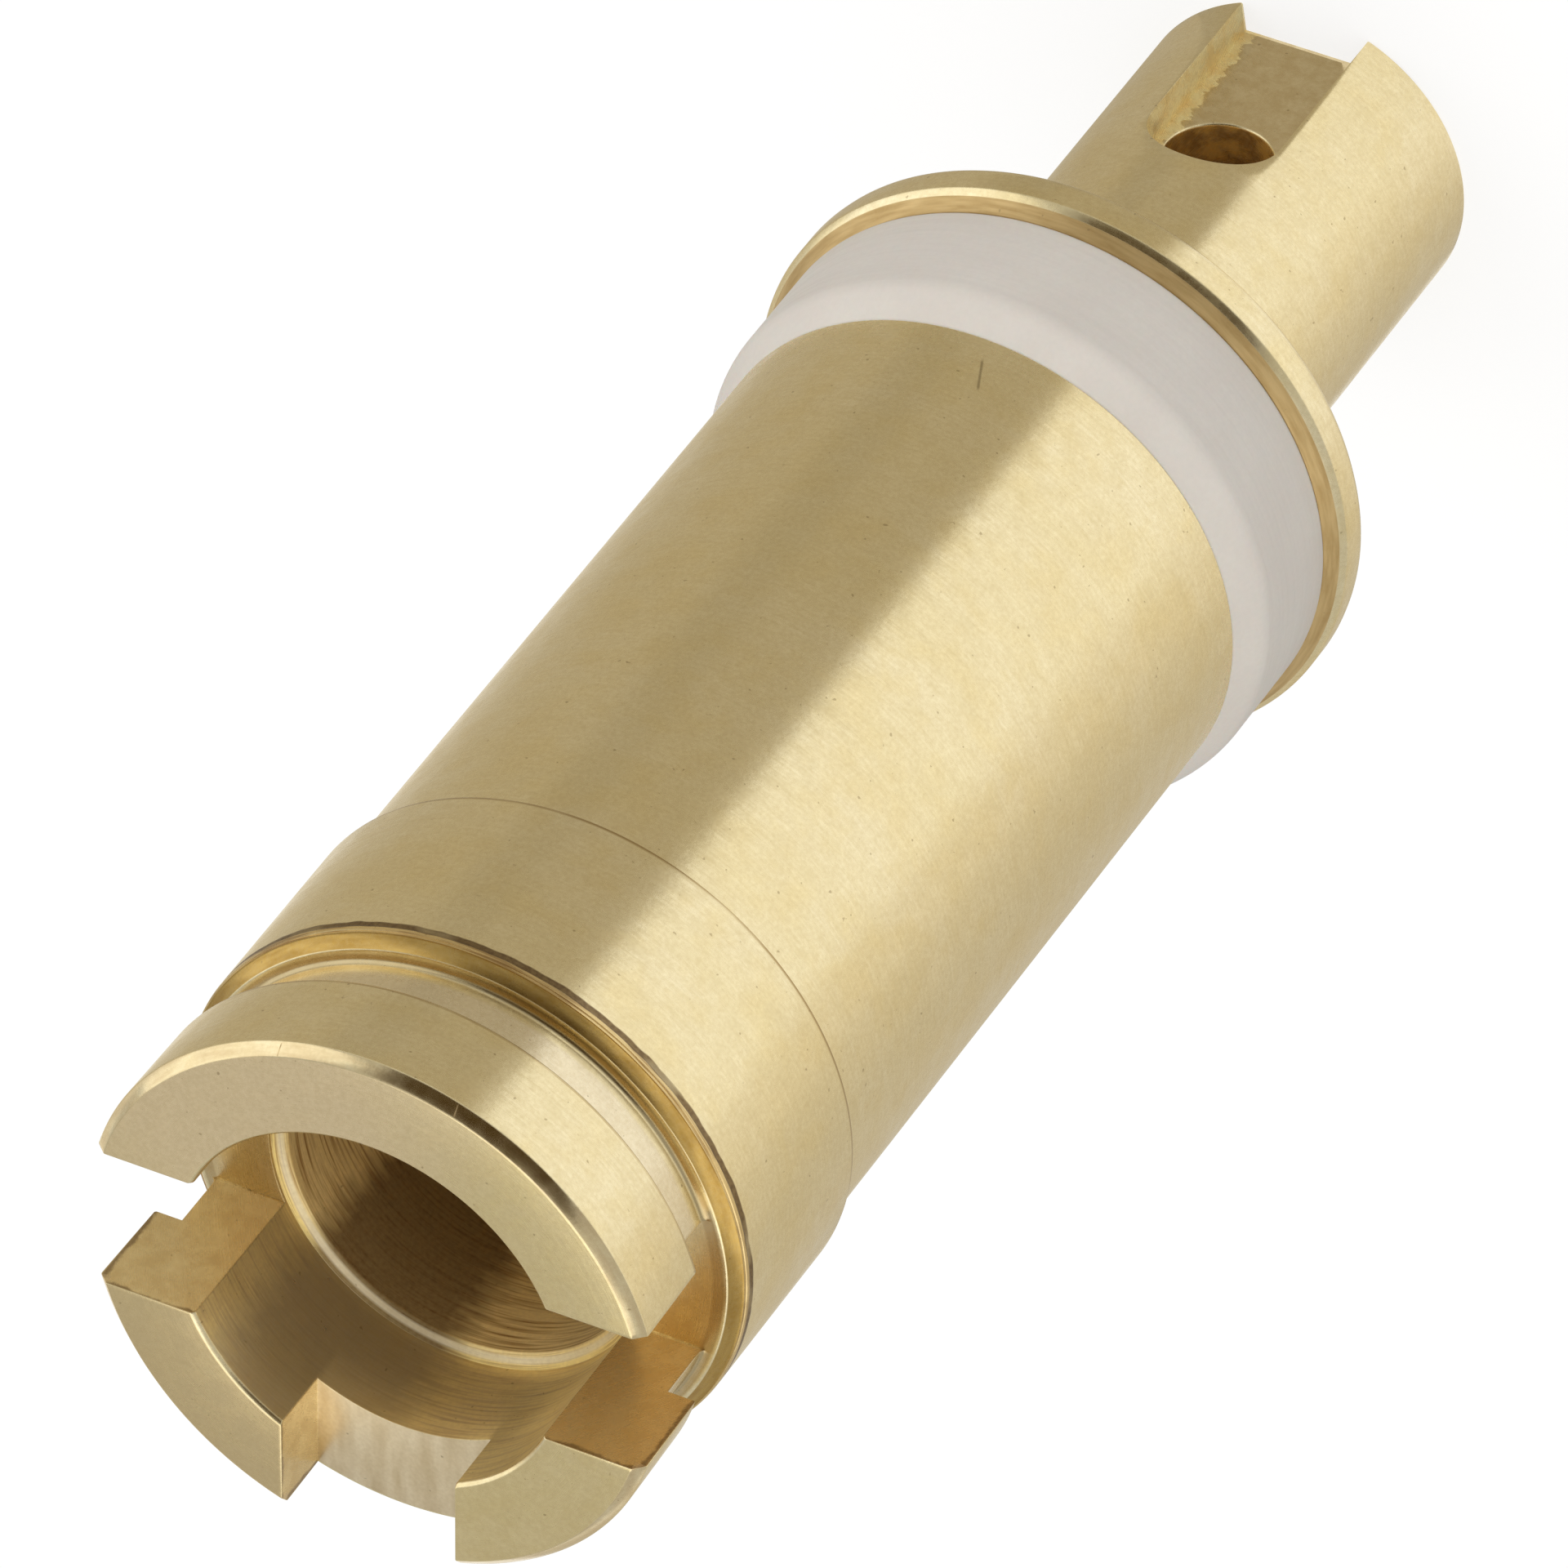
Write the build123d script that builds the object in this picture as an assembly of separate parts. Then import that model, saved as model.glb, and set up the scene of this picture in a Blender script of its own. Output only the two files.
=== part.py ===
from build123d import *
import os
from math import radians, tan

# Brass turned body with a plastic seal ring, in millimetres.
# Origin: centre of the tail face. +Z runs along the turning axis to the nose.
# +X runs along the slot that crosses the whole nose, and -Y is the side of the shank's slot.

# Diameters, tail to nose
shank_diameter = 7.6
barrel_diameter = 12.0
band_diameter = 12.5
neck_diameter = 11.32
collar_diameter = 12.56

# The ring stands this far proud of the barrel and its seat goes this far below it,
# and the flange stands this far proud of the ring
ring_rise = 0.42
ring_seat_depth = 0.8
flange_rise = 0.36

# Lengths along the axis, tail to nose
shank_length = 11.0
flange_thickness = 1.27
ring_width = 3.33
barrel_length = 17.4
band_length = 4.85
neck_length = 1.4
collar_length = 2.35

# Bevels and edges
tail_edge = 0.08
flange_back_radius = 0.3
flange_slope_width = 0.25
flange_slope_length = 0.24
flange_bevel_width = 0.07
flange_bevel_length = 0.42
ring_bevel_length = 0.73
ring_bevel_radius = 1.5
band_bevel = 0.35
neck_radius = 0.2
collar_taper = 0.04
nose_bevel = 0.23
mouth_edge = 0.03

# Hollow from the nose: a shallow counterbore, then a long blind bore with a drilled end
counterbore_diameter = 8.4
counterbore_depth = 3.82
bore_diameter = 7.8
ledge_slope = 30.0
bore_depth = 24.0
drill_point_angle = 118.0

# Slots in the nose: one right across it, and a shallower one through the +Y wall
cross_slot_width = 3.35
side_slot_width = 3.85
side_slot_depth = 1.5

# Slot and hole in the shank: both lie on the -Y side, and the slot's round end is centred on the hole
shank_slot_width = 2.85
shank_slot_depth = 1.05
hole_diameter = 2.35
hole_from_tail = 4.25
hole_depth = 2.5

# Diameters of the ring, of the groove that it sits in and of the flange behind it
ring_diameter = barrel_diameter + 2 * ring_rise
ring_seat_diameter = barrel_diameter - 2 * ring_seat_depth
flange_diameter = ring_diameter + 2 * flange_rise

# Heights of the steps
flange_height = shank_length
ring_height = flange_height + flange_thickness
barrel_height = ring_height + ring_width
band_height = barrel_height + barrel_length
shoulder_height = band_height + band_length
collar_height = shoulder_height + neck_length
nose_height = collar_height + collar_length

# Longer than anything it has to cut through
reach = 2 * flange_diameter


def turned(*corners):
    """Solid of revolution from the (diameter, height) corners of its half section."""
    half_section = [(diameter / 2, height) for diameter, height in corners]
    return revolve(make_face(Plane.XZ * Polyline(*half_section, close=True)), Axis.Z)


def point_length(diameter):
    """Length of the cone that a drill of this diameter leaves at the end of its hole."""
    return diameter / 2 / tan(radians(drill_point_angle / 2))


def rim(solid, diameter, height):
    """Edges of a solid that run around the axis at one diameter and height."""
    circles = solid.edges().filter_by(GeomType.CIRCLE)
    return [e for e in circles if abs(2 * e.radius - diameter) < 1e-3 and abs(e.arc_center.Z - height) < 1e-3]


def outside():
    """The turned outside, with the seat of the ring between barrel and flange."""
    bevel_diameter = flange_diameter - 2 * flange_bevel_width
    bevel_height = ring_height - flange_slope_length
    blank = turned(
        (0, 0),
        (shank_diameter, 0),
        (shank_diameter, flange_height),
        (flange_diameter, flange_height),
        (flange_diameter, bevel_height - flange_bevel_length),
        (bevel_diameter, bevel_height),
        (bevel_diameter - 2 * flange_slope_width, ring_height),
        (ring_seat_diameter, ring_height),
        (ring_seat_diameter, barrel_height),
        (barrel_diameter, barrel_height),
        (barrel_diameter, band_height),
        (band_diameter, band_height),
        (band_diameter, shoulder_height - band_bevel),
        (band_diameter - 2 * band_bevel, shoulder_height),
        (neck_diameter, shoulder_height),
        (neck_diameter, collar_height),
        (collar_diameter - 2 * collar_taper, collar_height),
        (collar_diameter, nose_height - nose_bevel),
        (collar_diameter - 2 * nose_bevel, nose_height),
        (0, nose_height),
    )
    blank = fillet(rim(blank, flange_diameter, flange_height), flange_back_radius)
    blank = fillet(rim(blank, neck_diameter, shoulder_height), neck_radius)
    return chamfer(rim(blank, shank_diameter, 0), tail_edge)


def hollow():
    """The counterbore and the blind bore, as one turned cutter."""
    ledge_height = nose_height - counterbore_depth
    ledge_drop = (counterbore_diameter - bore_diameter) / 2 * tan(radians(ledge_slope))
    bore_end = nose_height - bore_depth
    return turned(
        (0, nose_height + mouth_edge),
        (counterbore_diameter + 4 * mouth_edge, nose_height + mouth_edge),
        (counterbore_diameter, nose_height - mouth_edge),
        (counterbore_diameter, ledge_height),
        (bore_diameter, ledge_height - ledge_drop),
        (bore_diameter, bore_end),
        (0, bore_end - point_length(bore_diameter)),
    )


def nose_slots():
    """The slot across the whole nose, cut down to the shoulder, and the side slot towards +Y."""
    up = (Align.CENTER, Align.CENTER, Align.MIN)
    across = Pos(0, 0, shoulder_height) * Box(reach, cross_slot_width, reach, align=up)
    outward = (Align.CENTER, Align.MIN, Align.MIN)
    side = Pos(0, 0, nose_height - side_slot_depth) * Box(side_slot_width, reach, reach, align=outward)
    return [across, side]


def shank_slot():
    """Flat-bottomed slot, open at the tail and rounded where it ends around the hole."""
    floor = shank_diameter / 2 - shank_slot_depth
    face = Plane(origin=(0, -floor, 0), x_dir=(1, 0, 0), z_dir=(0, -1, 0))
    straight = Pos(0, (hole_from_tail - reach) / 2) * Rectangle(shank_slot_width, hole_from_tail + reach)
    outline = straight + Pos(0, hole_from_tail) * Circle(shank_slot_width / 2)
    return extrude(face * outline, reach)


def shank_hole():
    """Blind drilled hole in the slot's floor, pointing at the axis."""
    inner_end = shank_diameter / 2 - shank_slot_depth - hole_depth
    axis = Plane(origin=(0, -inner_end, hole_from_tail), x_dir=(1, 0, 0), z_dir=(0, -1, 0))
    radius = hole_diameter / 2
    drill = Cylinder(radius, reach, align=(Align.CENTER, Align.CENTER, Align.MIN))
    point = Cone(0, radius, point_length(hole_diameter), align=(Align.CENTER, Align.CENTER, Align.MAX))
    return axis * (drill + point)


def turned_body():
    """The brass body: turned outside and hollow, then the milled slots and the drilled hole."""
    body = outside() - hollow()
    for cutter in nose_slots():
        body -= cutter
    body -= shank_slot()
    return body - shank_hole()


def seal_ring():
    """The plastic ring: it fills its seat and stands proud of the barrel, with a soft bevel towards it."""
    bevel_height = barrel_height - ring_bevel_length
    ring = turned(
        (ring_seat_diameter, ring_height),
        (ring_diameter, ring_height),
        (ring_diameter, bevel_height),
        (barrel_diameter, barrel_height),
        (ring_seat_diameter, barrel_height),
    )
    return fillet(rim(ring, ring_diameter, bevel_height), ring_bevel_radius)


os.makedirs("parts", exist_ok=True)
export_step(turned_body(), "parts/turned_body.step")
export_step(seal_ring(), "parts/seal_ring.step")
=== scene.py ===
from math import acos, asin, atan2, cos, degrees, hypot, pi, radians, sin, tan

import bmesh
import bpy
from mathutils import Matrix, Vector


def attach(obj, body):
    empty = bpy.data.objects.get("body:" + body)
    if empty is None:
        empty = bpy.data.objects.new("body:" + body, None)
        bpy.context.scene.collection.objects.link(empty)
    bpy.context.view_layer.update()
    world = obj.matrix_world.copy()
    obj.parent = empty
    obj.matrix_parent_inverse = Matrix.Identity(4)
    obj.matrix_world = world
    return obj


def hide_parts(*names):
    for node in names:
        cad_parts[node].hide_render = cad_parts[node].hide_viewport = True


# Looks of a turned brass body with a plastic seal ring.
# The part's lengths are in millimetres until a mesh is made, and the stage's are in metres.
MM = 0.001

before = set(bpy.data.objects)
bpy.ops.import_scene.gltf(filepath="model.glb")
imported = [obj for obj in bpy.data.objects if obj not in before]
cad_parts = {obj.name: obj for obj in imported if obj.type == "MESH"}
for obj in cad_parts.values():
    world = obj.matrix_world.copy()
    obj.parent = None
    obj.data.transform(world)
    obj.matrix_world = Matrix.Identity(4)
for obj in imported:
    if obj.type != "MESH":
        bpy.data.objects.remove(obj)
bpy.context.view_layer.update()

# ---------------------------------------------------------------- sizes, the same as in the part's source
# Radii
SHANK, FLANGE, SEAT, RING, BARREL, BAND, NECK = 3.8, 6.776, 5.2, 6.42, 6.0, 6.25, 5.66
COLLAR_BACK, COLLAR_FRONT, NOSE_RIM = 6.24, 6.28, 6.05
BORE, COUNTERBORE, MOUTH = 3.9, 4.2, 4.28
# Heights above the tail
FLANGE_BACK, RING_BACK, RING_FRONT, BAND_BACK, SHOULDER = 11.0, 12.2, 15.6, 33.0, 37.85
COLLAR, NOTCH_FLOOR, NOSE_BEVEL, NOSE = 39.25, 40.1, 41.37, 41.6
BORE_END, LEDGE_LOW, LEDGE_HIGH, MOUTH_EDGE = 17.6, 37.61, 37.78, 41.52
# Half widths of the nose's two slots and of the keyway, which is the slot in the shank
CROSS_SLOT, NOTCH, KEYWAY = 3.35 / 2, 3.85 / 2, 2.85 / 2
# Distance of the keyway's floor from the axis
KEYWAY_FLOOR = 2.75
# The hole in the keyway's floor
HOLE, HOLE_HEIGHT, HOLE_DEPTH = 2.35 / 2, 4.25, 2.5
TAIL_EDGE = 0.08
# Radius over depth of a drilled end, a cone of 118 degrees
DRILL = tan(radians(59))

# ---------------------------------------------------------------- forms too fine for the part's source
EDGE_BREAK, RING_EDGE_BREAK = 0.03, 0.05
COLLAR_ROUND, BAND_ROUND, NECK_ROUND, FLANGE_ROUND, RING_BEND = 0.06, 0.1, 0.14, 0.3, 0.8
# The keyway's +X wall leans outwards: its distance from the middle as a share of KEYWAY, at the lip and at the foot
KEYWAY_LIP, KEYWAY_FOOT = 1.055, 0.985
HOLE_RIM = 0.05
# Edges are rounded, and after that marked sharp, from these angles on
ROUND_FROM, SHARP_FROM = 28, 34

# ---------------------------------------------------------------- counts in the meshes
COLUMNS, RING_COLUMNS = 360, 288
# Columns that lie on the planes of the nose's slots, whatever the radius
CROSS_COLUMN, NOTCH_COLUMN = 16, 71
# The keyway's patch: columns each side of -Y, the height it reaches, and its rows
KEYWAY_SPREAD, KEYWAY_TOP = 30, 6.6
ROWS_TO_HOLE, ROWS_PAST_HOLE, PATCH_STEPS = 12, 10, 4


def arc(centre, radius, start, end, steps):
    """Points (radius, height) along an arc of the half section, angles in degrees."""
    angles = [radians(start + (end - start) * i / steps) for i in range(steps + 1)]
    return [(centre[0] + radius * cos(a), centre[1] + radius * sin(a)) for a in angles]


def around(radius, angle, height):
    return (radius * cos(angle), radius * sin(angle), height)


def nose_angle(column, radius):
    """Angle of a column on the nose side, where some columns keep to the slots' planes."""
    r = max(radius, BORE)
    cross, notch = asin(CROSS_SLOT / r), acos(NOTCH / r)
    keys = [
        (-CROSS_COLUMN, -cross),
        (CROSS_COLUMN, cross),
        (NOTCH_COLUMN, notch),
        (180 - NOTCH_COLUMN, pi - notch),
        (180 - CROSS_COLUMN, pi - cross),
        (180 + CROSS_COLUMN, pi + cross),
        (360 - CROSS_COLUMN, 2 * pi - cross),
        (360 + CROSS_COLUMN, 2 * pi + cross),
    ]
    for (c0, a0), (c1, a1) in zip(keys, keys[1:]):
        if c0 <= column <= c1:
            return a0 + (a1 - a0) * (column - c0) / (c1 - c0)


def bridge(bm, lower, upper, closed=True, skip=()):
    """Quads between two rows of vertices, apart from the columns to skip."""
    count = len(lower)
    for i in range(count if closed else count - 1):
        j = (i + 1) % count
        if i not in skip:
            bm.faces.new((lower[i], lower[j], upper[j], upper[i]))


def cone(bm, row, apex):
    """Closes a round row of vertices with a cone."""
    tip = bm.verts.new(apex)
    for i in range(len(row)):
        bm.faces.new((tip, row[i], row[(i + 1) % len(row)]))


def in_burr(edge):
    """The fine ridges at the band's front edge stay crisp."""
    return all(37.35 < v.co.z < 37.66 and hypot(v.co.x, v.co.y) > 6.1 for v in edge.verts)


def finish_mesh(bm, name, material, edge_break):
    """Rounds the convex edges a little, smooths what lies between sharp edges and makes the piece."""
    bmesh.ops.recalc_face_normals(bm, faces=bm.faces)
    convex = [
        e
        for e in bm.edges
        if e.is_manifold and e.is_convex and e.calc_face_angle() > radians(ROUND_FROM) and not in_burr(e)
    ]
    bmesh.ops.bevel(
        bm,
        geom=convex,
        offset=edge_break,
        offset_type="OFFSET",
        segments=2,
        profile=0.5,
        affect="EDGES",
        clamp_overlap=False,
    )
    bmesh.ops.recalc_face_normals(bm, faces=bm.faces)
    for e in bm.edges:
        e.smooth = not e.is_manifold or e.calc_face_angle() < radians(SHARP_FROM)
    mesh = bpy.data.meshes.new(name)
    bmesh.ops.scale(bm, vec=(MM, MM, MM), verts=bm.verts)
    bm.to_mesh(mesh)
    bm.free()
    mesh.shade_smooth()
    mesh.materials.append(material)
    piece = bpy.data.objects.new(name, mesh)
    bpy.context.scene.collection.objects.link(piece)
    weighted = piece.modifiers.new("weighted", "WEIGHTED_NORMAL")
    weighted.mode, weighted.weight, weighted.keep_sharp = "FACE_AREA", 90, True
    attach(piece, "root")
    return piece


# ---------------------------------------------------------------- the brass body
def add_turned_skin(bm):
    """The hollow, the nose with its slots, and the outside back to the flange. Returns the last row."""
    # Each slot's floor joins a point of the half section inside to one outside
    cross_in, cross_out = (COUNTERBORE, SHOULDER), (5.86, SHOULDER)
    notch_in, notch_out = (COUNTERBORE, NOTCH_FLOOR), (6.256, NOTCH_FLOOR)
    # Points between the corners only split long walls
    section = [
        # The bore from its end, the ledge and the counterbore
        (BORE, BORE_END), (BORE, 24), (BORE, 30), (BORE, 34), (BORE, LEDGE_LOW), (COUNTERBORE, LEDGE_HIGH),
        cross_in, (COUNTERBORE, 39), notch_in, (COUNTERBORE, MOUTH_EDGE), (MOUTH, NOSE),
        # The nose, the collar and the neck
        (NOSE_RIM, NOSE), (COLLAR_FRONT, NOSE_BEVEL), notch_out, (COLLAR_BACK, COLLAR + COLLAR_ROUND),
        *arc((COLLAR_BACK - COLLAR_ROUND, COLLAR + COLLAR_ROUND), COLLAR_ROUND, -20, -70, 2),
        (COLLAR_BACK - COLLAR_ROUND, COLLAR), (NECK, COLLAR), (NECK, SHOULDER + NECK_ROUND),
        *arc((NECK + NECK_ROUND, SHOULDER + NECK_ROUND), NECK_ROUND, 198, 252, 3), cross_out,
        # The bevel before the band, which ends in the fine ridges and the groove of its burr
        (5.95, SHOULDER), (6.16, 37.62), (6.20, 37.61), (6.208, 37.56), (6.236, 37.55), (BAND, 37.48),
        (6.232, 37.45), (6.232, 37.41), (BAND - 0.005, 37.38), (BAND, 37.34),
        # The band, its rounded back edge and the barrel
        (BAND, 35), (BAND, BAND_BACK + BAND_ROUND),
        *arc((BAND - BAND_ROUND, BAND_BACK + BAND_ROUND), BAND_ROUND, -22.5, -90, 3),
        (BARREL, BAND_BACK), (BARREL, 28), (BARREL, 22), (BARREL, RING_FRONT),
        # The ring's seat, and the flange with its slope, bevel and rounded back edge
        (SEAT, RING_FRONT), (SEAT, RING_BACK), (6.38, RING_BACK), (6.647, 11.969), (FLANGE, 11.84),
        (FLANGE, FLANGE_BACK + FLANGE_ROUND),
        *arc((FLANGE - FLANGE_ROUND, FLANGE_BACK + FLANGE_ROUND), FLANGE_ROUND, -22.5, -67.5, 2),
        (6.48, FLANGE_BACK),
    ]
    rows = [[bm.verts.new(around(r, nose_angle(c, r), z)) for c in range(COLUMNS)] for r, z in section]
    where = {point: i for i, point in enumerate(section)}
    a, b, c, d = (where[point] for point in (cross_in, cross_out, notch_in, notch_out))
    cross = {i % COLUMNS for i in range(-CROSS_COLUMN, CROSS_COLUMN)}
    cross |= set(range(180 - CROSS_COLUMN, 180 + CROSS_COLUMN))
    notch = set(range(NOTCH_COLUMN, 180 - NOTCH_COLUMN))
    for i in range(len(rows) - 1):
        skip = set()
        if a <= i < b:
            skip |= cross
        if c <= i < d:
            skip |= notch
        bridge(bm, rows[i], rows[i + 1], skip=skip)
    # Floors and walls of the two slots
    bridge(bm, rows[a], rows[b], skip=set(range(COLUMNS)) - cross)
    bridge(bm, rows[c], rows[d], skip=set(range(COLUMNS)) - notch)
    for column in (CROSS_COLUMN, 180 - CROSS_COLUMN, 180 + CROSS_COLUMN, 360 - CROSS_COLUMN):
        bm.faces.new([rows[i][column] for i in range(a, b + 1)])
    for column in (NOTCH_COLUMN, 180 - NOTCH_COLUMN):
        bm.faces.new([rows[i][column] for i in range(c, d + 1)])
    cone(bm, rows[0], (0, 0, BORE_END - BORE / DRILL))
    return rows[-1]


def keyway_outlines(straight, count):
    """The keyway's outline as count points (x, height, radius), at its lip and at its foot.

    It goes up one wall, half round about the hole and down the other wall.
    """
    turns = count - 2 * len(straight) + 1
    outline = [(-KEYWAY, z, r) for r, z in straight]
    for i in range(1, turns):
        t = pi - pi * i / turns
        outline.append((KEYWAY * cos(t), HOLE_HEIGHT + KEYWAY * sin(t), SHANK))
    outline += [(KEYWAY, z, r) for r, z in reversed(straight)]
    return [[(x * share if x > 0 else x, z, r) for x, z, r in outline] for share in (KEYWAY_LIP, KEYWAY_FOOT)]


def add_keyway_floor(bm, foot, first):
    """The keyway's floor round the hole, and the hole. The half round starts at the foot's vertex first."""
    last = len(foot) - 1 - first
    count = last - first
    turn = [pi - pi * i / count for i in range(2 * count)]
    rims = []
    for radius, depth in ((HOLE + HOLE_RIM, 0), (HOLE, HOLE_RIM), (HOLE, HOLE_DEPTH)):
        rims.append([
            bm.verts.new((radius * cos(t), depth - KEYWAY_FLOOR, HOLE_HEIGHT + radius * sin(t))) for t in turn
        ])
    bridge(bm, foot[first : last + 1], rims[0][: count + 1], closed=False)
    lower = [rims[0][i % (2 * count)] for i in range(count, 2 * count + 1)]
    bm.faces.new(foot[: first + 1] + list(reversed(lower)) + foot[last:])
    bridge(bm, rims[0], rims[1])
    bridge(bm, rims[1], rims[2])
    cone(bm, rims[2], (0, HOLE_DEPTH - KEYWAY_FLOOR + HOLE / DRILL, HOLE_HEIGHT))


def add_shank_skin(bm, flange_edge):
    """The flange's back, the shank and its keyway."""
    # Rings outside the keyway's patch
    to_hole = (HOLE_HEIGHT - TAIL_EDGE) / ROWS_TO_HOLE
    past_hole = (KEYWAY_TOP - HOLE_HEIGHT) / ROWS_PAST_HOLE
    straight = [(SHANK - TAIL_EDGE, 0.0)] + [(SHANK, TAIL_EDGE + to_hole * i) for i in range(ROWS_TO_HOLE + 1)]
    heights = straight + [(SHANK, HOLE_HEIGHT + past_hole * i) for i in range(1, ROWS_PAST_HOLE + 1)]
    left, right = 270 - KEYWAY_SPREAD, 270 + KEYWAY_SPREAD
    grid = []
    for row, (r, z) in enumerate(heights):
        top = row == len(heights) - 1
        grid.append([
            None if left < c < right and not top else bm.verts.new(around(r, radians(c), z))
            for c in range(COLUMNS)
        ])
    flange_row = [bm.verts.new(around(SHANK, radians(c), FLANGE_BACK)) for c in range(COLUMNS)]
    bridge(bm, flange_edge, flange_row)
    bridge(bm, flange_row, grid[-1])
    for i in range(len(grid) - 1):
        bridge(bm, grid[i + 1], grid[i], skip=set(range(left, right)))

    # The patch, in paths that go up one side of the keyway, across and down the other
    outer = [row[left] for row in grid] + [grid[-1][c] for c in range(left + 1, right)]
    outer += [row[right] for row in reversed(grid)]
    lip, foot_line = keyway_outlines(straight, len(outer))
    paths = [outer]
    for step in range(1, PATCH_STEPS + 1):
        t = step / PATCH_STEPS
        path = []
        for vert, (x, z, r) in zip(outer, lip):
            start = atan2(vert.co.y, vert.co.x)
            end = -pi / 2 + asin(x / r)
            path.append(bm.verts.new(around(r, start + (end - start) * t, vert.co.z + (z - vert.co.z) * t)))
        paths.append(path)
    for one, two in zip(paths, paths[1:]):
        bridge(bm, one, two, closed=False)
    foot = [bm.verts.new((x, -KEYWAY_FLOOR, z)) for x, z, r in foot_line]
    bridge(bm, paths[-1], foot, closed=False)
    # The tail face
    circle = [grid[0][c % COLUMNS] for c in range(right, left + COLUMNS + 1)]
    down, back = [path[0] for path in paths[1:]], [path[-1] for path in reversed(paths[1:])]
    bm.faces.new(circle + down + [foot[0], foot[-1]] + back)
    add_keyway_floor(bm, foot, len(straight) - 1)


def build_body(material):
    bm = bmesh.new()
    flange_edge = add_turned_skin(bm)
    add_shank_skin(bm, flange_edge)
    return finish_mesh(bm, "turned_body_skin", material, EDGE_BREAK)


# ---------------------------------------------------------------- the seal ring
def build_ring(material):
    bm = bmesh.new()
    bevel_length = 0.73
    slope = atan2(RING - BARREL, bevel_length)
    centre = (RING - RING_BEND, RING_FRONT - bevel_length - RING_BEND * tan(slope / 2))
    section = [
        (SEAT, RING_BACK), (RING - 0.04, RING_BACK), (RING, RING_BACK + 0.07), (RING, 13.2),
        *arc(centre, RING_BEND, 0, degrees(slope), 8), (BARREL, RING_FRONT), (SEAT, RING_FRONT),
    ]
    turn = [2 * pi * c / RING_COLUMNS for c in range(RING_COLUMNS)]
    rows = [[bm.verts.new(around(r, angle, z)) for angle in turn] for r, z in section]
    for one, two in zip(rows, rows[1:] + rows[:1]):
        bridge(bm, one, two)
    return finish_mesh(bm, "seal_ring_skin", material, RING_EDGE_BREAK)


# ---------------------------------------------------------------- materials
class Shader:
    """A material's node tree with short calls for the nodes used here."""

    def __init__(self, name):
        self.material = bpy.data.materials.new(name)
        self.material.use_nodes = True
        self.tree = self.material.node_tree
        self.surface = self.tree.nodes["Principled BSDF"]

    def node(self, kind, **settings):
        made = self.tree.nodes.new(kind)
        for key, value in settings.items():
            setattr(made, key, value)
        return made

    def link(self, value, socket):
        if hasattr(value, "links"):
            self.tree.links.new(value, socket)
        else:
            socket.default_value = value

    def output(self, socket):
        self.link(socket, self.tree.nodes["Material Output"].inputs["Surface"])

    def math(self, operation, *values):
        made = self.node("ShaderNodeMath", operation=operation)
        for value, socket in zip(values, made.inputs):
            self.link(value, socket)
        return made.outputs[0]

    def fold(self, operation, values):
        made = values[0]
        for value in values[1:]:
            made = self.math(operation, made, value)
        return made

    def times(self, *values):
        return self.fold("MULTIPLY", values)

    def plus(self, *values):
        return self.fold("ADD", values)

    def most(self, *values):
        return self.fold("MAXIMUM", values)

    def length(self, one, two):
        return self.math("SQRT", self.plus(self.times(one, one), self.times(two, two)))

    def fit(self, value, start, end, low=0.0, high=1.0):
        """The value from start..end mapped to low..high, held at the ends."""
        made = self.node("ShaderNodeMapRange")
        for item, socket in zip((value, start, end, low, high), made.inputs):
            self.link(item, socket)
        return made.outputs[0]

    def below(self, value, start, end):
        """1 below start, fading to 0 at end."""
        return self.fit(value, start, end, 1, 0)

    def within(self, value, low, high, fade):
        """1 from low to high, fading to 0 over the length fade outside."""
        return self.times(self.fit(value, low - fade, low), self.below(value, high, high + fade))

    def near(self, value, middle, fade, half=0.01):
        return self.within(value, middle - half, middle + half, fade)

    def combine(self, x, y, z):
        made = self.node("ShaderNodeCombineXYZ")
        for value, socket in zip((x, y, z), made.inputs):
            self.link(value, socket)
        return made.outputs[0]

    def noise(self, vector, scale, detail=2.0, roughness=0.5):
        made = self.node("ShaderNodeTexNoise")
        self.link(vector, made.inputs["Vector"])
        made.inputs["Scale"].default_value = scale
        made.inputs["Detail"].default_value = detail
        made.inputs["Roughness"].default_value = roughness
        return made.outputs["Fac"]

    def mix(self, factor, one, two):
        made = self.node("ShaderNodeMix", data_type="RGBA")
        for value, socket in zip((factor, one, two), (made.inputs[0], made.inputs[6], made.inputs[7])):
            self.link(value, socket)
        return made.outputs[2]

    def blend(self, noise, start, end, one, two):
        """From the first colour to the second as the noise goes from start to end."""
        return self.mix(self.fit(noise, start, end), one, two)

    def bump(self, height, strength, distance, normal=None):
        made = self.node("ShaderNodeBump")
        made.inputs["Strength"].default_value = strength
        made.inputs["Distance"].default_value = distance
        self.link(height, made.inputs["Height"])
        if normal:
            self.link(normal, made.inputs["Normal"])
        return made.outputs["Normal"]


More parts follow.
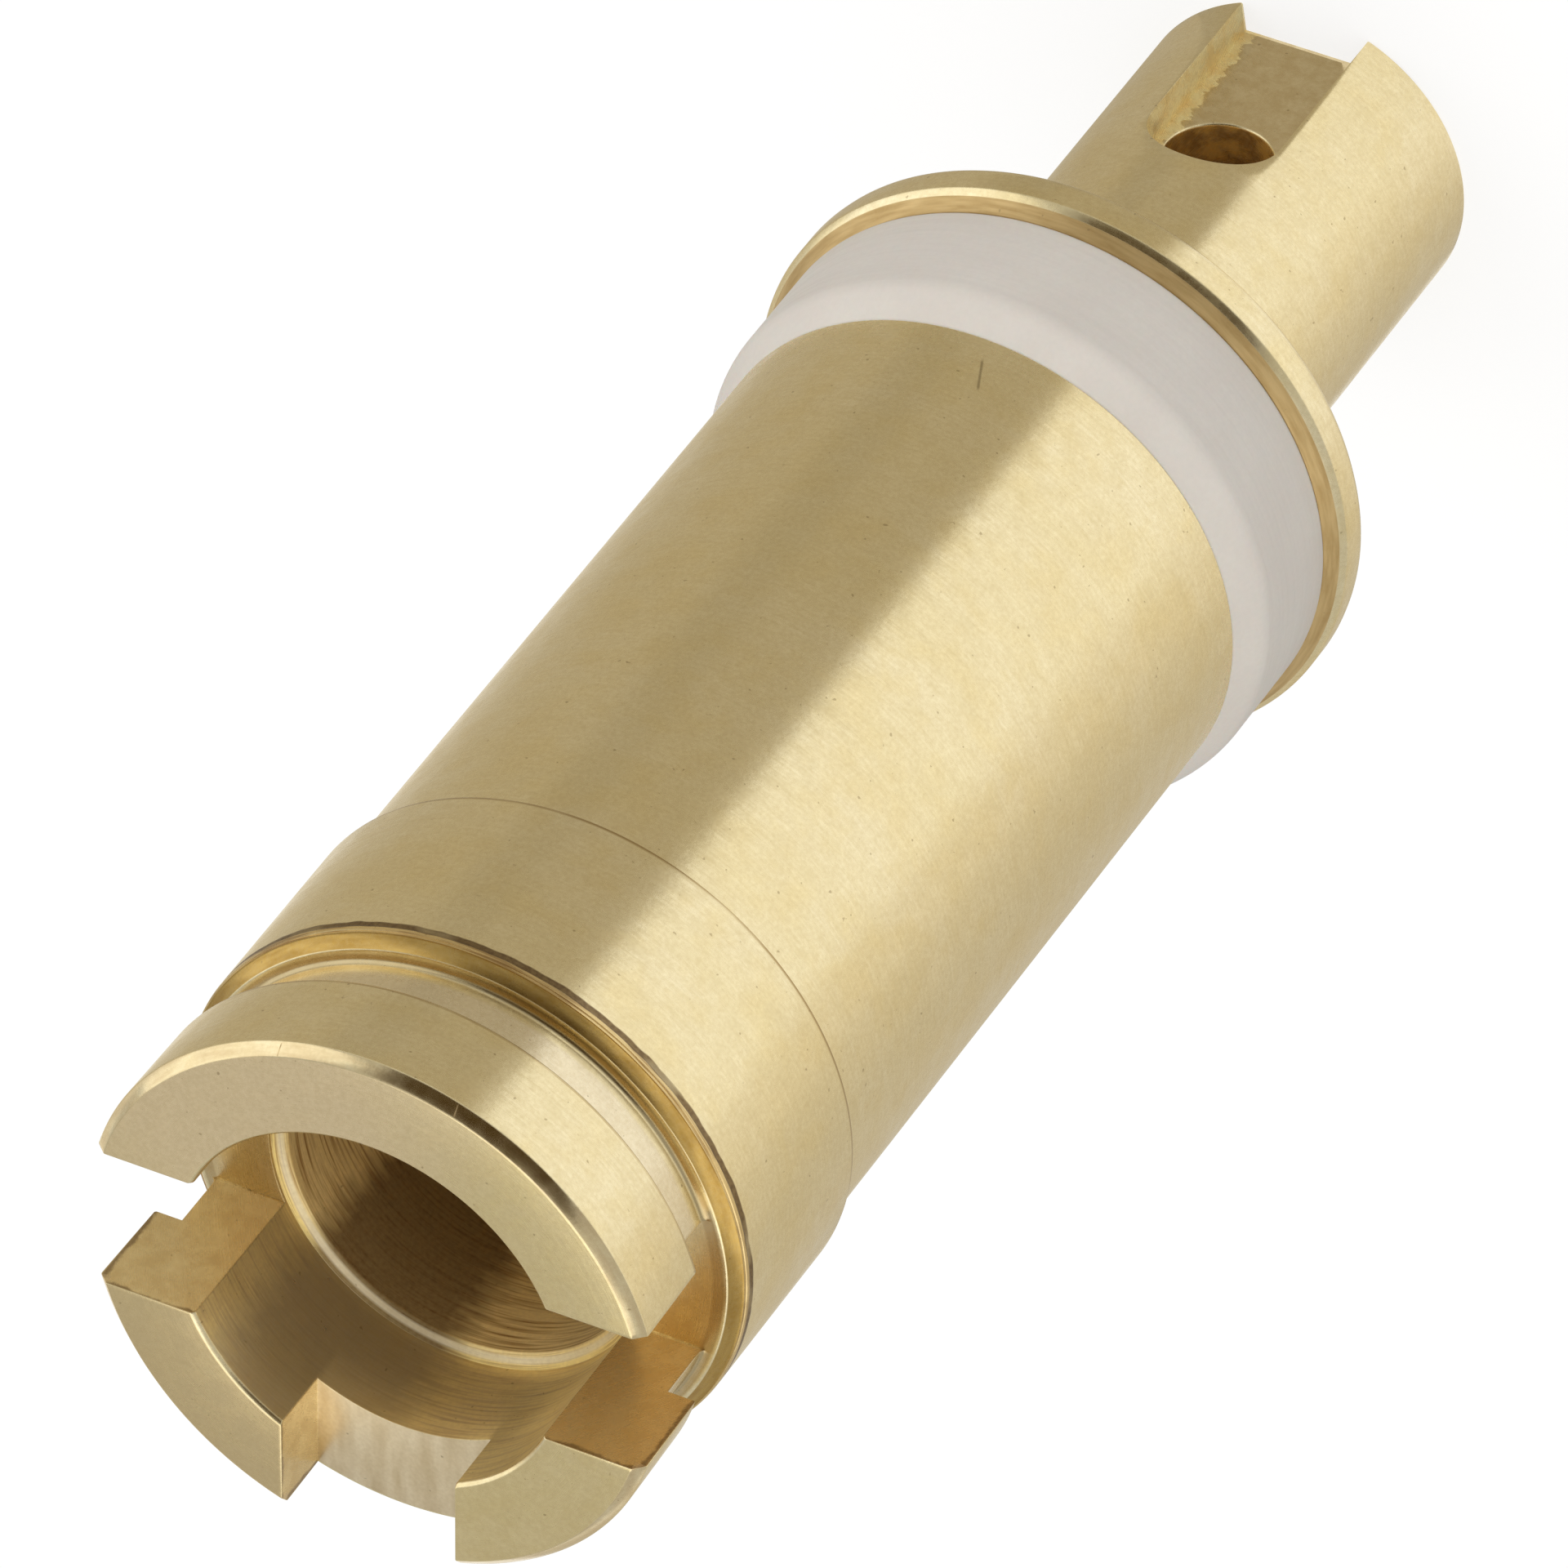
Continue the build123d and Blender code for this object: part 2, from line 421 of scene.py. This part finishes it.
class TurnedShader(Shader):
    """A shader that knows the place in mm, the radius and the direction round the turning axis."""

    def __init__(self, name):
        super().__init__(name)
        scaled = self.node("ShaderNodeVectorMath", operation="SCALE")
        self.link(self.node("ShaderNodeTexCoord").outputs["Object"], scaled.inputs[0])
        scaled.inputs["Scale"].default_value = 1 / MM
        self.place = scaled.outputs[0]
        parts = self.node("ShaderNodeSeparateXYZ")
        self.link(self.place, parts.inputs[0])
        self.x, self.y, self.z = parts.outputs
        self.radius = self.length(self.x, self.y)
        self.ux, self.uy = self.math("DIVIDE", self.x, self.radius), self.math("DIVIDE", self.y, self.radius)
        # Grows along the profile on walls and on faces alike
        self.along = self.plus(self.z, self.times(self.radius, 1.7))

    def streaks(self, turn, pitch, detail=2.0):
        """Noise drawn out round the axis: turn sets how short the streaks are, pitch how many lie in a mm."""
        vector = self.combine(
            self.times(self.ux, turn), self.times(self.uy, turn), self.times(self.along, pitch)
        )
        return self.noise(vector, 1.0, detail)

    def towards(self, angle):
        """1 on the side of the part at an angle round its axis, in degrees, and -1 opposite."""
        a = radians(angle)
        return self.plus(self.times(self.ux, cos(a)), self.times(self.uy, sin(a)))


def rgb(red, green, blue):
    """A colour given as it is seen, 0 to 255, as linear values."""
    linear = [((c / 255 + 0.055) / 1.055) ** 2.4 if c > 10 else c / 255 / 12.92 for c in (red, green, blue)]
    return (*linear, 1)


def brass():
    s = TurnedShader("turned_brass")
    x, y, z, radius = s.x, s.y, s.z, s.radius

    # Streaks drawn out by the turning, then grain, specks and clouds that go all ways
    fine, medium, broad = s.streaks(7.0, 16.0, 3.0), s.streaks(3.0, 3.5), s.streaks(1.6, 0.5)
    grain, specks = s.noise(s.place, 11.0, 2.0), s.noise(s.place, 7.0, 1.0)
    mottle, cloud = s.noise(s.place, 2.2, 4.0, 0.6), s.noise(s.place, 0.8, 3.0, 0.6)

    # The hollow: turned walls with darker streaks, a painted dark reflection on one side, and a ledge with a painted
    # highlight
    bored = s.times(s.below(radius, COUNTERBORE - 0.01, COUNTERBORE + 0.01), s.fit(z, 12, 13))
    deep = s.below(z, 37.6, 37.8)
    turned = s.mix(s.times(deep, 0.5), rgb(255, 228, 140), rgb(255, 230, 180))
    turned = s.blend(s.streaks(2.2, 14.0, 3.0), 0.46, 0.72, turned, rgb(164, 118, 56))
    # Painted dark reflection on the side of the bore towards azimuth 62, with a ragged edge
    dark_reflection_side = s.plus(s.towards(62), s.fit(s.streaks(6.0, 6.0), 0.3, 0.7, -0.02, 0.02))
    turned = s.mix(s.fit(dark_reflection_side, 0.85, 0.94, 0, 0.85), turned, rgb(92, 60, 16))
    # The ledge's pale colour is a painted highlight
    ledge = s.times(bored, s.within(z, 37.67, 37.71, 0.03))

    # The nose's face, with a painted highlight on one side and painted shade on the other, and the bevel round it
    face = s.fit(z, NOSE - 0.01, NOSE - 0.002)
    face_tone_and_painted_light = s.blend(mottle, 0.35, 0.65, rgb(241, 221, 166), rgb(232, 211, 154))
    # Over the face's own mottled tone: a painted highlight towards -58 and painted shade towards 47
    face_tone_and_painted_light = s.mix(s.fit(s.towards(-58), 0.4, 0.9, 0, 0.9), face_tone_and_painted_light, rgb(250, 226, 182))
    face_tone_and_painted_light = s.mix(s.fit(s.towards(47), 0.5, 0.95, 0, 0.8), face_tone_and_painted_light, rgb(218, 193, 144))
    nose_bevel = s.times(s.within(z, NOSE_BEVEL + 0.01, NOSE - 0.01, 0.01), s.fit(radius, 6.03, 6.05))

    # The slots: milled floors, duller walls with a painted golden reflection on one side, and a torn dark edge where
    # the cutter came out
    on_floor = s.times(s.fit(radius, 4.21, 4.22), s.below(radius, 6.2, 6.22))
    notch_floor = s.times(s.near(z, NOTCH_FLOOR, 0.01), on_floor)
    milling = s.noise(s.combine(s.times(x, 2.4), s.times(y, 0.5), 0.0), 1.0, 2.0)
    cross_floor = s.times(s.near(z, SHOULDER, 0.01), on_floor, s.below(radius, 5.8, 5.9))
    cross_wall = s.times(s.near(s.math("ABSOLUTE", y), CROSS_SLOT, 0.005), s.fit(z, 37.87, 37.9))
    notch_wall = s.times(s.near(s.math("ABSOLUTE", x), NOTCH, 0.005), s.fit(z, 40.12, 40.15))
    inside_edges = s.times(s.below(z, 41.57, 41.59), s.below(radius, 6.22, 6.26))
    slot_wall = s.times(s.most(cross_wall, notch_wall), inside_edges)
    # Painted golden reflection on the slot walls of the -X side
    painted_wall_reflection = s.times(slot_wall, s.below(x, -1.5, 0))
    torn = s.fit(mottle, 0.3, 0.7, -0.06, 0.06)
    by_edge = s.most(s.fit(s.plus(radius, torn), 6.12, 6.18), s.fit(s.plus(z, torn), 41.5, 41.56))
    wall_edge = s.times(slot_wall, by_edge)

    # The neck with a painted highlight and painted shade at its foot, and the bevel before the band with the ridges,
    # the burr and the groove at its edge, whose dark line is painted shade
    # The neck's pale colour is a painted highlight
    neck = s.times(s.within(z, 38.2, 39.2, 0.1), s.fit(radius, 5.6, 5.65), s.below(radius, 5.7, 5.75))
    # Painted shade in the corner at the neck's foot
    neck_foot_shade = s.times(s.within(z, 37.84, 37.92, 0.04), s.fit(radius, 5.6, 5.65), s.below(radius, 5.85, 5.9))
    bevel = s.times(s.within(z, 37.61, 37.83, 0.01), s.fit(radius, 5.94, 5.96))
    ridge = s.times(s.within(z, 37.48, 37.6, 0.01), s.fit(radius, 6.15, 6.17))
    burr = s.times(
        s.within(z, 37.49, 37.6, 0.015), s.fit(radius, 6.15, 6.19), s.fit(s.streaks(5.0, 26.0), 0.45, 0.6)
    )
    # The groove's dark line, wandering and broken, is painted shade
    wander = s.plus(z, s.fit(s.streaks(9.0, 1.0), 0.3, 0.7, -0.03, 0.03))
    broken = s.fit(s.streaks(4.0, 3.0), 0.3, 0.5, 0.4, 1)
    groove = s.times(s.within(wander, 37.345, 37.46, 0.03), s.fit(radius, 6.19, 6.2), broken)

    # Lines at the back edges of the collar and of the band; the band's dark line is painted shade
    on_edge = s.times(s.fit(radius, 6.1, 6.15), s.fit(medium, 0.3, 0.5, 0.4, 1))
    collar_line = s.times(s.within(z, 39.22, 39.33, 0.02), on_edge)
    band_edge_shade = s.times(s.within(z, 33.0, 33.09, 0.05), on_edge)

    # The flange's slope, and the keyway with its ragged wall and its hole, painted darker inside as painted shade
    flange_slope = s.times(s.within(z, 11.975, 12.3, 0.01), s.fit(radius, 6.3, 6.31))
    keyway = s.times(s.below(radius, 3.775, 3.79), s.below(y, -2.74, -2.72), s.below(z, 6, 6.2))
    ragged = s.plus(x, s.times(s.noise(s.combine(x, y, s.times(z, 4)), 2.0, 2.0), 0.5))
    keyway_wall = s.times(keyway, s.fit(ragged, 1.38, 1.42))
    off_hole = s.length(x, s.math("SUBTRACT", z, HOLE_HEIGHT))
    # Painted shade: the hole's inside is painted darker brown
    shaded_hole = s.times(
        s.within(y, -2.72, 1, 0.04), s.below(off_hole, HOLE + 0.005, HOLE + 0.02), s.below(z, 6.5, 6.6)
    )

    # A short scratch on the barrel beside the ring
    scratch_x, scratch_z, scratch_lean = -0.66, 16.66, -0.38
    along_scratch = s.math("SUBTRACT", z, scratch_z)
    across_scratch = s.math("SUBTRACT", s.math("SUBTRACT", x, scratch_x), s.times(along_scratch, scratch_lean))
    scratch = s.times(
        s.near(across_scratch, 0, 0.03, half=0.012),
        s.near(along_scratch, 0, 0.12, half=0.36),
        s.below(y, -5.8, -5.7),
    )

    colour = s.blend(broad, 0.3, 0.7, rgb(247, 231, 184), rgb(251, 237, 196))
    # Where, how strong, and the colour there. Later rows lie over earlier ones
    layers = (
        (s.fit(cloud, 0.45, 0.65), 0.4, rgb(242, 219, 156)),
        (s.fit(mottle, 0.35, 0.7), 0.3, rgb(235, 216, 164)),
        (s.fit(fine, 0.3, 0.75), 0.4, rgb(230, 211, 158)),
        (face, 0.9, face_tone_and_painted_light),
        # The bore's colour carries the painted dark reflection on one side
        (bored, 0.95, turned),
        # The ledge's painted highlight
        (ledge, 0.75, rgb(250, 236, 200)),
        (bevel, 1.0, s.blend(fine, 0.35, 0.65, rgb(196, 162, 90), rgb(176, 140, 70))),
        (ridge, 0.8, rgb(226, 196, 134)),
        (burr, 0.7, rgb(160, 126, 82)),
        # The groove's painted shade
        (groove, 0.9, rgb(92, 64, 38)),
        (collar_line, 0.6, rgb(176, 148, 98)),
        (band_edge_shade, 0.9, rgb(171, 142, 89)),
        # The neck's painted highlight
        (neck, 0.8, rgb(244, 230, 198)),
        (neck_foot_shade, 0.6, rgb(150, 128, 86)),
        (notch_floor, 0.9, s.blend(milling, 0.35, 0.65, rgb(252, 234, 198), rgb(226, 204, 164))),
        (cross_floor, 0.5, s.blend(mottle, 0.35, 0.65, rgb(232, 206, 160), rgb(214, 180, 120))),
        (slot_wall, 0.85, s.blend(mottle, 0.35, 0.65, rgb(236, 208, 144), rgb(216, 184, 118))),
        (painted_wall_reflection, 0.55, rgb(208, 158, 72)),
        (wall_edge, 0.75, rgb(112, 84, 50)),
        (flange_slope, 1.0, s.blend(fine, 0.35, 0.65, rgb(208, 178, 122), rgb(184, 152, 96))),
        (nose_bevel, s.fit(fine, 0.35, 0.65, 0.2, 0.6), rgb(216, 190, 146)),
        (keyway, 0.8, s.blend(mottle, 0.4, 0.6, rgb(232, 214, 172), rgb(218, 196, 150))),
        (keyway_wall, 0.8, s.blend(mottle, 0.4, 0.6, rgb(255, 240, 178), rgb(250, 222, 150))),
        (shaded_hole, 1.0, s.blend(mottle, 0.4, 0.6, rgb(206, 154, 66), rgb(148, 104, 42))),
        (s.fit(specks, 0.75, 0.8), 0.45, rgb(120, 95, 55)),
        (s.fit(grain, 0.3, 0.7), 0.24, rgb(198, 173, 122)),
        (scratch, 0.5, rgb(110, 92, 62)),
    )
    for mask, amount, shade in layers:
        colour = s.mix(s.times(mask, amount), colour, shade)
    s.link(colour, s.surface.inputs["Base Color"])

    # Milled, drilled and bored walls scatter more than they mirror
    half_dull = s.times(s.most(flange_slope, slot_wall), 0.7)
    dull = s.most(s.times(bored, 0.8), half_dull, shaded_hole, keyway_wall)
    s.link(s.fit(dull, 0, 1, 1, 0.4), s.surface.inputs["Metallic"])
    rough = s.plus(
        s.fit(fine, 0.25, 0.75, 0.22, 0.3),
        s.fit(mottle, 0.3, 0.7, -0.03, 0.05),
        s.times(bored, 0.12),
        s.times(nose_bevel, -0.06),
        s.times(s.most(flange_slope, notch_floor), 0.08),
    )
    s.link(rough, s.surface.inputs["Roughness"])
    s.surface.inputs["Anisotropic"].default_value = 0.5
    s.surface.inputs["Anisotropic Rotation"].default_value = 0.25
    tangent = s.node("ShaderNodeTangent", direction_type="RADIAL", axis="Z")
    s.link(tangent.outputs[0], s.surface.inputs["Tangent"])
    height = s.plus(s.times(fine, s.fit(bored, 0, 1, 1, 2.5)), s.times(medium, 0.5))
    normal = s.bump(height, 0.5, 0.003 * MM)
    s.link(s.bump(mottle, 0.35, 0.01 * MM, normal), s.surface.inputs["Normal"])
    return s.material


def ring_plastic():
    s = TurnedShader("ring_plastic")
    cloud, grain, lines = s.noise(s.place, 0.45, 2.0), s.noise(s.place, 9.0, 3.0), s.streaks(2.5, 9)
    colour = s.blend(cloud, 0.35, 0.65, rgb(226, 219, 209), rgb(222, 214, 204))
    colour = s.mix(s.fit(lines, 0.4, 0.75, 0, 0.12), colour, rgb(196, 187, 178))
    colour = s.mix(s.fit(grain, 0.35, 0.7, 0, 0.16), colour, rgb(204, 196, 187))
    s.link(colour, s.surface.inputs["Base Color"])
    s.link(s.fit(lines, 0.3, 0.7, 0.45, 0.6), s.surface.inputs["Roughness"])
    s.surface.inputs["Subsurface Weight"].default_value = 0.15
    s.surface.inputs["Subsurface Scale"].default_value = 0.4 * MM
    s.link(s.bump(lines, 0.25, 0.01 * MM), s.surface.inputs["Normal"])
    return s.material


# ---------------------------------------------------------------- camera
# Fitted to the photograph. The camera looks from azimuth -90 of a frame of its own, and the part's azimuths are those
# of that frame plus PART_TURN. Lengths were fitted in radii of the barrel, the focal length in pixels of the picture.
PART_TURN = -28.35
CAMERA_ELEVATION, CAMERA_ROLL = 43.260, 218.963
CAMERA_DISTANCE, CAMERA_LIFT = 56.809 * BARREL, 5.4944 * BARREL
CAMERA_SLIDE = (-0.69270 * BARREL, -0.89228 * BARREL)
PICTURE_WIDTH, SENSOR_WIDTH, FOCAL_PIXELS = 1920, 36, 21116.87


def add_camera():
    elevation, roll = radians(CAMERA_ELEVATION), radians(CAMERA_ROLL)
    back = Vector((0, -cos(elevation), sin(elevation)))
    level = Vector((0, 0, 1)).cross(back).normalized()
    upright = back.cross(level)
    right = cos(roll) * level + sin(roll) * upright
    up = -sin(roll) * level + cos(roll) * upright
    place = CAMERA_DISTANCE * back - CAMERA_SLIDE[0] * right - CAMERA_SLIDE[1] * up
    place.z += CAMERA_LIFT
    turn = Matrix.Rotation(radians(PART_TURN), 3, "Z")
    data = bpy.data.cameras.new("camera")
    data.sensor_width, data.lens = SENSOR_WIDTH, FOCAL_PIXELS / PICTURE_WIDTH * SENSOR_WIDTH
    data.clip_start, data.clip_end = 0.01, 10
    camera = bpy.data.objects.new("camera", data)
    axes = Matrix((turn @ right, turn @ up, turn @ back)).transposed()
    camera.matrix_world = Matrix.Translation(turn @ place * MM) @ axes.to_4x4()
    bpy.context.scene.collection.objects.link(camera)
    bpy.context.scene.camera = camera


# ---------------------------------------------------------------- stage, in metres
# Azimuths are in the camera's frame: -90 is towards the camera, 0 to its right
FLOOR_WHITE, FLOOR_GLOW, FLOOR_REACH, WORLD_GREY = 0.3, 0.745, 2.0, 0.55
LAMP_DISTANCE, CARD_DISTANCE, FLOOR_CARD_REACH, FLOOR_CARD_HEIGHT = 0.5, 0.3, 0.4, 0.0001
# The tones that the shank mirrors reach this far from its foot, and the card's other tones start a little further out
NEAR_CARD_REACH, WIDE_CARD_START = 0.0125, 0.019
# Lamps and the standing card look at the middle of the part
MIDDLE = Vector((0, 0, 0.02))

# Tones of the cards on the floor: (azimuth, tone, warmth)
RIGHT_TONES = (
    (-79, 0.45, 1), (-60, 0.46, 1), (-40, 0.42, 1), (-20, 0.48, 1), (0, 0.48, 1), (20, 0.5, 0.9), (40, 0.6, 0.7),
    (60, 0.95, 0.4), (80, 1.1, 0.2),
)
LEFT_TONES = (
    (-250, 0.6, 0.6), (-220, 0.6, 0.6), (-200, 0.6, 0.6), (-180, 0.68, 0.6), (-160, 0.84, 0.5), (-140, 1.0, 0.1),
)
# The same beside the shank, where the card starts at its foot
LEFT_TONES_NEAR = (
    (-250, 0.58, 0.6), (-220, 0.62, 0.6), (-200, 0.69, 0.6), (-180, 0.8, 0.5), (-160, 0.92, 0.3), (-140, 1.0, 0.1),
)


def stage_direction(azimuth, elevation):
    a, e = radians(azimuth + PART_TURN), radians(elevation)
    return Vector((cos(a) * cos(e), sin(a) * cos(e), sin(e)))


def stage_object(name, data):
    made = bpy.data.objects.new(name, data)
    bpy.context.scene.collection.objects.link(made)
    return made


def sheet(name, corners, faces, material):
    mesh = bpy.data.meshes.new(name)
    mesh.from_pydata([tuple(c) for c in corners], [], faces)
    mesh.materials.append(material)
    made = stage_object(name, mesh)
    return made


def glow(shader, colour, strength=1.0):
    made = shader.node("ShaderNodeEmission")
    shader.link(colour, made.inputs["Color"])
    shader.link(strength, made.inputs["Strength"])
    return made.outputs[0]


def floor_material():
    """White paper, white to the camera and to what mirrors it, and darker where the object shades it."""
    s = Shader("floor")
    s.surface.inputs["Base Color"].default_value = (FLOOR_WHITE, FLOOR_WHITE, FLOOR_WHITE, 1)
    s.surface.inputs["Roughness"].default_value = 0.9
    s.surface.inputs["Specular IOR Level"].default_value = 0.0
    rays = s.node("ShaderNodeLightPath").outputs
    seen = s.most(rays["Is Camera Ray"], rays["Is Glossy Ray"], rays["Is Transmission Ray"])
    paper = s.node("ShaderNodeAddShader")
    s.link(s.surface.outputs[0], paper.inputs[0])
    s.link(glow(s, (1, 1, 1, 1), s.times(seen, FLOOR_GLOW)), paper.inputs[1])
    s.output(paper.outputs[0])
    return s.material


def reflected_only(made):
    """Only mirrors show this card. It throws no light and no shadow."""
    made.visible_camera = made.visible_diffuse = made.visible_transmission = made.visible_shadow = False
    made.visible_volume_scatter = False


def floor_card(name, tones, near=()):
    """A card that lies on the floor beside the part: its tone changes with the azimuth, as tones say.

    near gives the tones that the shank mirrors, along lines that start at its foot.
    """
    points = []
    for reach in (0, NEAR_CARD_REACH) if near else ():
        for azimuth, tone, warmth in near:
            # Where the camera sees this azimuth mirrored in the shank
            foot = stage_direction((azimuth - 90) / 2, 0) * SHANK * MM
            points.append((foot + stage_direction(azimuth, 0) * reach, tone, warmth))
    for reach in (WIDE_CARD_START if near else 0, FLOOR_CARD_REACH):
        points += [(stage_direction(azimuth, 0) * reach, tone, warmth) for azimuth, tone, warmth in tones]
    count = len(tones)
    faces = [(i, count + i, count + i + 1, i + 1) for i in range(len(points) - count) if (i + 1) % count]
    s = Shader(name)
    s.output(glow(s, s.node("ShaderNodeAttribute", attribute_name="tone").outputs["Color"]))
    raised = Vector((0, 0, FLOOR_CARD_HEIGHT))
    made = sheet(name, [point + raised for point, _, _ in points], faces, s.material)
    shades = made.data.color_attributes.new("tone", "FLOAT_COLOR", "POINT")
    for shade, (_, tone, warmth) in zip(shades.data, points):
        shade.color = (tone, tone * (1 - 0.1 * warmth), tone * (1 - 0.28 * warmth), 1)
    reflected_only(made)


def half_size(angle, distance):
    """Half the width of something that fills an angle at a distance."""
    return distance * tan(radians(angle / 2))


def standing_card(name, azimuth, elevation, width, height, colour):
    """A card that faces the part; width and height are the angles it fills."""
    towards = stage_direction(azimuth, elevation)
    side = Vector((0, 0, 1)).cross(towards).normalized()
    up = towards.cross(side)
    w, h = half_size(width, CARD_DISTANCE), half_size(height, CARD_DISTANCE)
    centre = towards * CARD_DISTANCE + MIDDLE
    corners = [centre + side * (i * w) + up * (j * h) for i, j in ((-1, -1), (1, -1), (1, 1), (-1, 1))]
    s = Shader(name)
    s.output(glow(s, (*colour, 1)))
    reflected_only(sheet(name, corners, [(0, 1, 2, 3)], s.material))


def lamp(name, azimuth, elevation, width, height, radiance, mirrored=True):
    """An area lamp that looks at the part; width and height are the angles it fills, radiance 1 is white."""
    towards = stage_direction(azimuth, elevation)
    data = bpy.data.lights.new(name, "AREA")
    data.shape = "RECTANGLE"
    data.size, data.size_y = 2 * half_size(width, LAMP_DISTANCE), 2 * half_size(height, LAMP_DISTANCE)
    data.energy = radiance * pi * data.size * data.size_y
    made = stage_object(name, data)
    made.location = towards * LAMP_DISTANCE + MIDDLE
    made.rotation_mode = "QUATERNION"
    made.rotation_quaternion = towards.to_track_quat("Z", "Y")
    made.visible_glossy = mirrored


def add_stage():
    far = FLOOR_REACH
    corners = [(-far, -far, 0), (far, -far, 0), (far, far, 0), (-far, far, 0)]
    sheet("floor", corners, [(0, 1, 2, 3)], floor_material())
    floor_card("card_right", RIGHT_TONES)
    floor_card("card_left", LEFT_TONES, LEFT_TONES_NEAR)
    standing_card("card_camera", -82, 45, 60, 42, (0.07, 0.045, 0.015))
    lamp("right_light", 8, 26, 66, 46, 0.68)
    lamp("top_light", 158, 68, 52, 52, 0.88)
    lamp("front_fill", -105, 15, 100, 50, 1.0, mirrored=False)
    lamp("right_fill", -10, 20, 60, 50, 0.7, mirrored=False)
    world = bpy.data.worlds.new("world")
    bpy.context.scene.world = world
    world.use_nodes = True
    background = world.node_tree.nodes["Background"]
    background.inputs["Color"].default_value = (WORLD_GREY, WORLD_GREY, WORLD_GREY, 1)
    bpy.context.scene.view_settings.view_transform = "Standard"


add_camera()
add_stage()
body = build_body(brass())
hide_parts("turned_body")
ring = build_ring(ring_plastic())
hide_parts("seal_ring")
